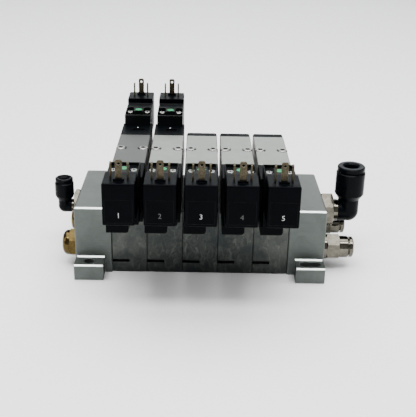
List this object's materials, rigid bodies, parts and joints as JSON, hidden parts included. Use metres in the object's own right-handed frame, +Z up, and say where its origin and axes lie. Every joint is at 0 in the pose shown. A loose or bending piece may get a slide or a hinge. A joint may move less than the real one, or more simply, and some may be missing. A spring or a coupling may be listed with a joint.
{
  "type": "solenoid valve manifold",
  "caption": "Bank of pneumatic directional valves with solenoid pilots, side by side on a sub-base manifold with end plates and push-in fittings.",
  "frame": {"origin": "on the flat mounting face, under the middle station and midway between the module faces", "axes": "+Z up from the mounting face; +X along the row of valves; -Y towards the end with a solenoid on every valve"},
  "size_m": [0.172, 0.1583, 0.082],
  "materials": {
    "plate_metal": "smooth bluish grey, bright machined edges",
    "cast_metal": "raw die casting, mottled",
    "body_satin": "satin, darker than the others",
    "body_bright": "bright brushed",
    "cap_plastic": "moulded black",
    "pilot_plastic": "moulded black",
    "coil_plastic": "encapsulated black",
    "contact_metal": "dull tinned bronze",
    "screw_steel": "zinc plated",
    "green_plastic": "moulded green",
    "nickel": "nickel plated",
    "brass": "turned, polished",
    "fitting_plastic": "moulded black",
    "spool_metal": "ground",
    "spring_steel": "drawn wire",
    "seal_rubber": "moulded",
    "copper_wire": "enamelled copper wire",
    "solenoid_steel": "ground"
  },
  "bodies": {
    "manifold": {"left_end_plate": "plate_metal", "right_end_plate": "plate_metal", "base_module_1": "cast_metal", "base_module_2": "cast_metal", "base_module_3": "cast_metal", "base_module_4": "cast_metal", "base_module_5": "cast_metal", "valve_body_1": "body_satin", "valve_body_2": "body_bright", "valve_body_3": "body_bright", "valve_body_4": "body_bright", "valve_body_5": "body_bright", "solenoid_end_caps": "cap_plastic", "blank_end_caps": "cap_plastic", "pilot_bodies": "pilot_plastic", "coil_housings": "coil_plastic", "contact_blades": "contact_metal", "valve_screws": "screw_steel", "pilot_screws": "screw_steel", "end_cap_screws": "screw_steel", "tie_rods": "screw_steel", "elbow_stems": "nickel", "straight_fittings": "nickel", "exhaust_silencers": "brass", "override_springs": "spring_steel", "armature_springs": "spring_steel", "gallery_seals": "seal_rubber", "valve_gaskets": "seal_rubber", "coil_windings": "copper_wire", "core_tubes": "solenoid_steel"},
    "spool_1": {"spool_1": "spool_metal"},
    "spool_2": {"spool_2": "spool_metal"},
    "spool_3": {"spool_3": "spool_metal", "return_spring_3": "spring_steel"},
    "spool_4": {"spool_4": "spool_metal", "return_spring_4": "spring_steel"},
    "spool_5": {"spool_5": "spool_metal", "return_spring_5": "spring_steel"},
    "override_front_1": {"override_front_1": "green_plastic"},
    "armature_front_1": {"armature_front_1": "solenoid_steel"},
    "override_front_2": {"override_front_2": "green_plastic"},
    "armature_front_2": {"armature_front_2": "solenoid_steel"},
    "override_front_3": {"override_front_3": "green_plastic"},
    "armature_front_3": {"armature_front_3": "solenoid_steel"},
    "override_front_4": {"override_front_4": "green_plastic"},
    "armature_front_4": {"armature_front_4": "solenoid_steel"},
    "override_front_5": {"override_front_5": "green_plastic"},
    "armature_front_5": {"armature_front_5": "solenoid_steel"},
    "override_rear_1": {"override_rear_1": "green_plastic"},
    "armature_rear_1": {"armature_rear_1": "solenoid_steel"},
    "override_rear_2": {"override_rear_2": "green_plastic"},
    "armature_rear_2": {"armature_rear_2": "solenoid_steel"},
    "left_elbow": {"left_elbow": "fitting_plastic"},
    "left_elbow_ring": {"left_elbow_release_ring": "fitting_plastic"},
    "right_elbow": {"right_elbow": "fitting_plastic"},
    "right_elbow_ring": {"right_elbow_release_ring": "fitting_plastic"},
    "front_ring": {"front_release_ring": "nickel"},
    "rear_ring": {"rear_release_ring": "nickel"}
  },
  "joints": [
    {"name": "spool_1_slide", "type": "slide", "parent": "manifold", "child": "spool_1", "axis": [0, 1, 0], "range_m": [0, 0.003]},
    {"name": "spool_2_slide", "type": "slide", "parent": "manifold", "child": "spool_2", "axis": [0, 1, 0], "range_m": [0, 0.003]},
    {"name": "spool_3_slide", "type": "slide", "parent": "manifold", "child": "spool_3", "axis": [0, 1, 0], "range_m": [0, 0.003], "stiffness_N_per_m": 200, "springref_m": -0.002, "deforming": ["return_spring_3"]},
    {"name": "spool_4_slide", "type": "slide", "parent": "manifold", "child": "spool_4", "axis": [0, 1, 0], "range_m": [0, 0.003], "stiffness_N_per_m": 200, "springref_m": -0.002, "deforming": ["return_spring_4"]},
    {"name": "spool_5_slide", "type": "slide", "parent": "manifold", "child": "spool_5", "axis": [0, 1, 0], "range_m": [0, 0.003], "stiffness_N_per_m": 200, "springref_m": -0.002, "deforming": ["return_spring_5"]},
    {"name": "override_front_1_push", "type": "slide", "parent": "manifold", "child": "override_front_1", "axis": [0, 0, -1], "range_m": [0, 0.001], "stiffness_N_per_m": 40, "springref_m": -0.0005},
    {"name": "armature_front_1_slide", "type": "slide", "parent": "manifold", "child": "armature_front_1", "axis": [0, -1, 0], "range_m": [0, 0.0008], "stiffness_N_per_m": 100, "springref_m": -0.0008},
    {"name": "override_front_2_push", "type": "slide", "parent": "manifold", "child": "override_front_2", "axis": [0, 0, -1], "range_m": [0, 0.001], "stiffness_N_per_m": 40, "springref_m": -0.0005},
    {"name": "armature_front_2_slide", "type": "slide", "parent": "manifold", "child": "armature_front_2", "axis": [0, -1, 0], "range_m": [0, 0.0008], "stiffness_N_per_m": 100, "springref_m": -0.0008},
    {"name": "override_front_3_push", "type": "slide", "parent": "manifold", "child": "override_front_3", "axis": [0, 0, -1], "range_m": [0, 0.001], "stiffness_N_per_m": 40, "springref_m": -0.0005},
    {"name": "armature_front_3_slide", "type": "slide", "parent": "manifold", "child": "armature_front_3", "axis": [0, -1, 0], "range_m": [0, 0.0008], "stiffness_N_per_m": 100, "springref_m": -0.0008},
    {"name": "override_front_4_push", "type": "slide", "parent": "manifold", "child": "override_front_4", "axis": [0, 0, -1], "range_m": [0, 0.001], "stiffness_N_per_m": 40, "springref_m": -0.0005},
    {"name": "armature_front_4_slide", "type": "slide", "parent": "manifold", "child": "armature_front_4", "axis": [0, -1, 0], "range_m": [0, 0.0008], "stiffness_N_per_m": 100, "springref_m": -0.0008},
    {"name": "override_front_5_push", "type": "slide", "parent": "manifold", "child": "override_front_5", "axis": [0, 0, -1], "range_m": [0, 0.001], "stiffness_N_per_m": 40, "springref_m": -0.0005},
    {"name": "armature_front_5_slide", "type": "slide", "parent": "manifold", "child": "armature_front_5", "axis": [0, -1, 0], "range_m": [0, 0.0008], "stiffness_N_per_m": 100, "springref_m": -0.0008},
    {"name": "override_rear_1_push", "type": "slide", "parent": "manifold", "child": "override_rear_1", "axis": [0, 0, -1], "range_m": [0, 0.001], "stiffness_N_per_m": 40, "springref_m": -0.0005},
    {"name": "armature_rear_1_slide", "type": "slide", "parent": "manifold", "child": "armature_rear_1", "axis": [0, 1, 0], "range_m": [0, 0.0008], "stiffness_N_per_m": 100, "springref_m": -0.0008},
    {"name": "override_rear_2_push", "type": "slide", "parent": "manifold", "child": "override_rear_2", "axis": [0, 0, -1], "range_m": [0, 0.001], "stiffness_N_per_m": 40, "springref_m": -0.0005},
    {"name": "armature_rear_2_slide", "type": "slide", "parent": "manifold", "child": "armature_rear_2", "axis": [0, 1, 0], "range_m": [0, 0.0008], "stiffness_N_per_m": 100, "springref_m": -0.0008},
    {"name": "left_elbow_swivel", "type": "hinge", "parent": "manifold", "child": "left_elbow", "pos_m": [-0.076, -0.00115, 0.02755], "axis": [1, 0, 0], "range_deg": [-80, 80]},
    {"name": "left_elbow_release", "type": "slide", "parent": "left_elbow", "child": "left_elbow_ring", "axis": [0, 0, -1], "range_m": [0, 0.0004], "stiffness_N_per_m": 40, "springref_m": -0.0005},
    {"name": "right_elbow_swivel", "type": "hinge", "parent": "manifold", "child": "right_elbow", "pos_m": [0.08275, -0.00115, 0.02755], "axis": [1, 0, 0], "range_deg": [-80, 80]},
    {"name": "right_elbow_release", "type": "slide", "parent": "right_elbow", "child": "right_elbow_ring", "axis": [0, 0, -1], "range_m": [0, 0.0007], "stiffness_N_per_m": 40, "springref_m": -0.0005},
    {"name": "front_release", "type": "slide", "parent": "manifold", "child": "front_ring", "axis": [-1, 0, 0], "range_m": [0, 0.0006], "stiffness_N_per_m": 40, "springref_m": -0.0005},
    {"name": "rear_release", "type": "slide", "parent": "manifold", "child": "rear_ring", "axis": [-1, 0, 0], "range_m": [0, 0.0006], "stiffness_N_per_m": 40, "springref_m": -0.0005}
  ]
}
